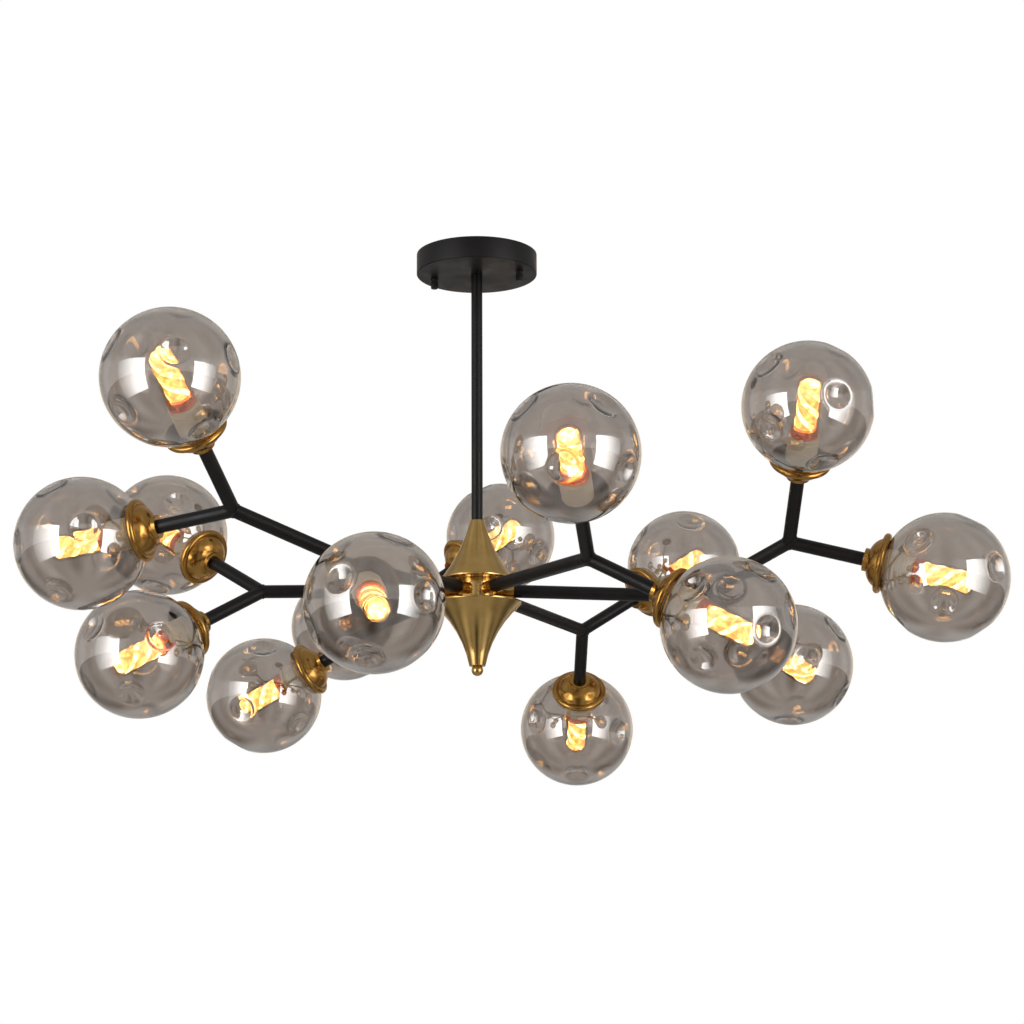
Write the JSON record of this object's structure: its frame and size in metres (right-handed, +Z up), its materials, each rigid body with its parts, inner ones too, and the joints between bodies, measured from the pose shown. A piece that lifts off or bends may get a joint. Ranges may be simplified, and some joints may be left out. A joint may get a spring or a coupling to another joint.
{
  "type": "branch chandelier",
  "caption": "Branch chandelier: round ceiling canopy, straight rod, brass cone hub and forked tube arms that carry dented smoked-glass globe lamps on brass cups",
  "frame": {"origin": "on the ceiling plane, at the middle of the two slots of the ceiling strap, under which the rod hangs", "axes": "+Z up into the ceiling, the front of the picture towards -Y, +X to the right of the picture, along the line of the two slots"},
  "size_m": [0.9061, 0.86, 0.4941],
  "materials": {
    "black_metal": "satin black powder coat",
    "polished_brass": "polished, lightly brushed round the axis",
    "antique_brass": "antique brass, semi-gloss",
    "smoked_glass": "smoke grey glass with a thin mirror coating",
    "bulb_glass": "lit warm white tube",
    "white_plastic": "ivory moulded",
    "zinc_steel": "zinc plated",
    "wire_insulation": "twin insulated wires"
  },
  "bodies": {
    "root": {"ceiling_strap": "zinc_steel", "stud_strap": "zinc_steel", "strap_rivet": "zinc_steel", "crossbar_studs": "zinc_steel", "earth_screw": "polished_brass", "terminal_block": "white_plastic", "canopy": "black_metal", "rod_lock_nut": "zinc_steel", "rod_top_nipple": "zinc_steel", "downrod": "black_metal", "upper_cone": "polished_brass", "hub_drum": "polished_brass", "arm_sockets": "polished_brass", "hub_nipple": "zinc_steel", "hub_lock_nut": "zinc_steel", "lamp_cups": "antique_brass", "lamp_holders": "white_plastic", "wiring_harness": "wire_insulation", "arm_1": "black_metal", "arm_2": "black_metal", "arm_3": "black_metal", "arm_4": "black_metal", "arm_5": "black_metal", "arm_6": "black_metal"},
    "cap_nut_left": {"cap_nut_left": "black_metal"},
    "cap_nut_right": {"cap_nut_right": "black_metal"},
    "finial": {"finial": "polished_brass"},
    "lower_cone": {"lower_cone": "polished_brass"},
    "globe_1": {"globe_1": "smoked_glass"},
    "bulb_1": {"bulb_1": "bulb_glass"},
    "globe_2": {"globe_2": "smoked_glass"},
    "bulb_2": {"bulb_2": "bulb_glass"},
    "globe_3": {"globe_3": "smoked_glass"},
    "bulb_3": {"bulb_3": "bulb_glass"},
    "globe_4": {"globe_4": "smoked_glass"},
    "bulb_4": {"bulb_4": "bulb_glass"},
    "globe_5": {"globe_5": "smoked_glass"},
    "bulb_5": {"bulb_5": "bulb_glass"},
    "globe_6": {"globe_6": "smoked_glass"},
    "bulb_6": {"bulb_6": "bulb_glass"},
    "globe_7": {"globe_7": "smoked_glass"},
    "bulb_7": {"bulb_7": "bulb_glass"},
    "globe_8": {"globe_8": "smoked_glass"},
    "bulb_8": {"bulb_8": "bulb_glass"},
    "globe_9": {"globe_9": "smoked_glass"},
    "bulb_9": {"bulb_9": "bulb_glass"},
    "globe_10": {"globe_10": "smoked_glass"},
    "bulb_10": {"bulb_10": "bulb_glass"},
    "globe_11": {"globe_11": "smoked_glass"},
    "bulb_11": {"bulb_11": "bulb_glass"},
    "globe_12": {"globe_12": "smoked_glass"},
    "bulb_12": {"bulb_12": "bulb_glass"},
    "globe_13": {"globe_13": "smoked_glass"},
    "bulb_13": {"bulb_13": "bulb_glass"},
    "globe_14": {"globe_14": "smoked_glass"},
    "bulb_14": {"bulb_14": "bulb_glass"},
    "globe_15": {"globe_15": "smoked_glass"},
    "bulb_15": {"bulb_15": "bulb_glass"}
  },
  "joints": [
    {"name": "cap_nut_left_unscrew", "type": "slide", "parent": "root", "child": "cap_nut_left", "axis": [0, 0, -1], "range_m": [0, 0.0075]},
    {"name": "cap_nut_right_unscrew", "type": "slide", "parent": "root", "child": "cap_nut_right", "axis": [0, 0, -1], "range_m": [0, 0.0075]},
    {"name": "finial_unscrew", "type": "slide", "parent": "root", "child": "finial", "axis": [0, 0, -1], "range_m": [0, 0.006]},
    {"name": "lower_cone_drop", "type": "slide", "parent": "root", "child": "lower_cone", "axis": [0, 0, -1], "range_m": [0, 0.006]},
    {"name": "globe_1_lift", "type": "slide", "parent": "root", "child": "globe_1", "axis": [0.0491, -0.7113, 0.7012], "range_m": [0, 0.095]},
    {"name": "globe_2_lift", "type": "slide", "parent": "root", "child": "globe_2", "axis": [0.9432, -0.1979, -0.2669], "range_m": [0, 0.095]},
    {"name": "globe_3_lift", "type": "slide", "parent": "root", "child": "globe_3", "axis": [0.7112, 0.6059, -0.3564], "range_m": [0, 0.095]},
    {"name": "globe_4_lift", "type": "slide", "parent": "root", "child": "globe_4", "axis": [0.753, 0.3956, 0.5258], "range_m": [0, 0.095]},
    {"name": "globe_5_lift", "type": "slide", "parent": "root", "child": "globe_5", "axis": [-0.0148, 0.8091, -0.5875], "range_m": [0, 0.095]},
    {"name": "globe_6_lift", "type": "slide", "parent": "root", "child": "globe_6", "axis": [0.7127, 0.4041, 0.5734], "range_m": [0, 0.095]},
    {"name": "globe_7_lift", "type": "slide", "parent": "root", "child": "globe_7", "axis": [-0.477, 0.8785, -0.0262], "range_m": [0, 0.095]},
    {"name": "globe_8_lift", "type": "slide", "parent": "root", "child": "globe_8", "axis": [-0.8413, 0.3355, -0.424], "range_m": [0, 0.095]},
    {"name": "globe_9_lift", "type": "slide", "parent": "root", "child": "globe_9", "axis": [-0.6935, 0.527, 0.4912], "range_m": [0, 0.095]},
    {"name": "globe_10_lift", "type": "slide", "parent": "root", "child": "globe_10", "axis": [-0.7202, -0.49, -0.4912], "range_m": [0, 0.095]},
    {"name": "globe_11_lift", "type": "slide", "parent": "root", "child": "globe_11", "axis": [-0.3094, -0.7141, 0.628], "range_m": [0, 0.095]},
    {"name": "globe_12_lift", "type": "slide", "parent": "root", "child": "globe_12", "axis": [-0.9477, 0.2856, -0.1422], "range_m": [0, 0.095]},
    {"name": "globe_13_lift", "type": "slide", "parent": "root", "child": "globe_13", "axis": [0.1507, -0.9017, -0.4052], "range_m": [0, 0.095]},
    {"name": "globe_14_lift", "type": "slide", "parent": "root", "child": "globe_14", "axis": [-0.1331, -0.8901, 0.4359], "range_m": [0, 0.095]},
    {"name": "globe_15_lift", "type": "slide", "parent": "root", "child": "globe_15", "axis": [0.8076, -0.3523, -0.4729], "range_m": [0, 0.095]},
    {"name": "bulb_1_unscrew", "type": "slide", "parent": "root", "child": "bulb_1", "axis": [0.0491, -0.7113, 0.7012], "range_m": [0, 0.015]},
    {"name": "bulb_2_unscrew", "type": "slide", "parent": "root", "child": "bulb_2", "axis": [0.9432, -0.1979, -0.2669], "range_m": [0, 0.015]},
    {"name": "bulb_3_unscrew", "type": "slide", "parent": "root", "child": "bulb_3", "axis": [0.7112, 0.6059, -0.3564], "range_m": [0, 0.015]},
    {"name": "bulb_4_unscrew", "type": "slide", "parent": "root", "child": "bulb_4", "axis": [0.753, 0.3956, 0.5258], "range_m": [0, 0.015]},
    {"name": "bulb_5_unscrew", "type": "slide", "parent": "root", "child": "bulb_5", "axis": [-0.0148, 0.8091, -0.5875], "range_m": [0, 0.015]},
    {"name": "bulb_6_unscrew", "type": "slide", "parent": "root", "child": "bulb_6", "axis": [0.7127, 0.4041, 0.5734], "range_m": [0, 0.015]},
    {"name": "bulb_7_unscrew", "type": "slide", "parent": "root", "child": "bulb_7", "axis": [-0.477, 0.8785, -0.0262], "range_m": [0, 0.015]},
    {"name": "bulb_8_unscrew", "type": "slide", "parent": "root", "child": "bulb_8", "axis": [-0.8413, 0.3355, -0.424], "range_m": [0, 0.015]},
    {"name": "bulb_9_unscrew", "type": "slide", "parent": "root", "child": "bulb_9", "axis": [-0.6935, 0.527, 0.4912], "range_m": [0, 0.015]},
    {"name": "bulb_10_unscrew", "type": "slide", "parent": "root", "child": "bulb_10", "axis": [-0.7202, -0.49, -0.4912], "range_m": [0, 0.015]},
    {"name": "bulb_11_unscrew", "type": "slide", "parent": "root", "child": "bulb_11", "axis": [-0.3094, -0.7141, 0.628], "range_m": [0, 0.015]},
    {"name": "bulb_12_unscrew", "type": "slide", "parent": "root", "child": "bulb_12", "axis": [-0.9477, 0.2856, -0.1422], "range_m": [0, 0.015]},
    {"name": "bulb_13_unscrew", "type": "slide", "parent": "root", "child": "bulb_13", "axis": [0.1507, -0.9017, -0.4052], "range_m": [0, 0.015]},
    {"name": "bulb_14_unscrew", "type": "slide", "parent": "root", "child": "bulb_14", "axis": [-0.1331, -0.8901, 0.4359], "range_m": [0, 0.015]},
    {"name": "bulb_15_unscrew", "type": "slide", "parent": "root", "child": "bulb_15", "axis": [0.8076, -0.3523, -0.4729], "range_m": [0, 0.015]}
  ],
  "couplings": [
    {"joint": "lower_cone_drop", "follows": "finial_unscrew", "ratio": 1}
  ]
}
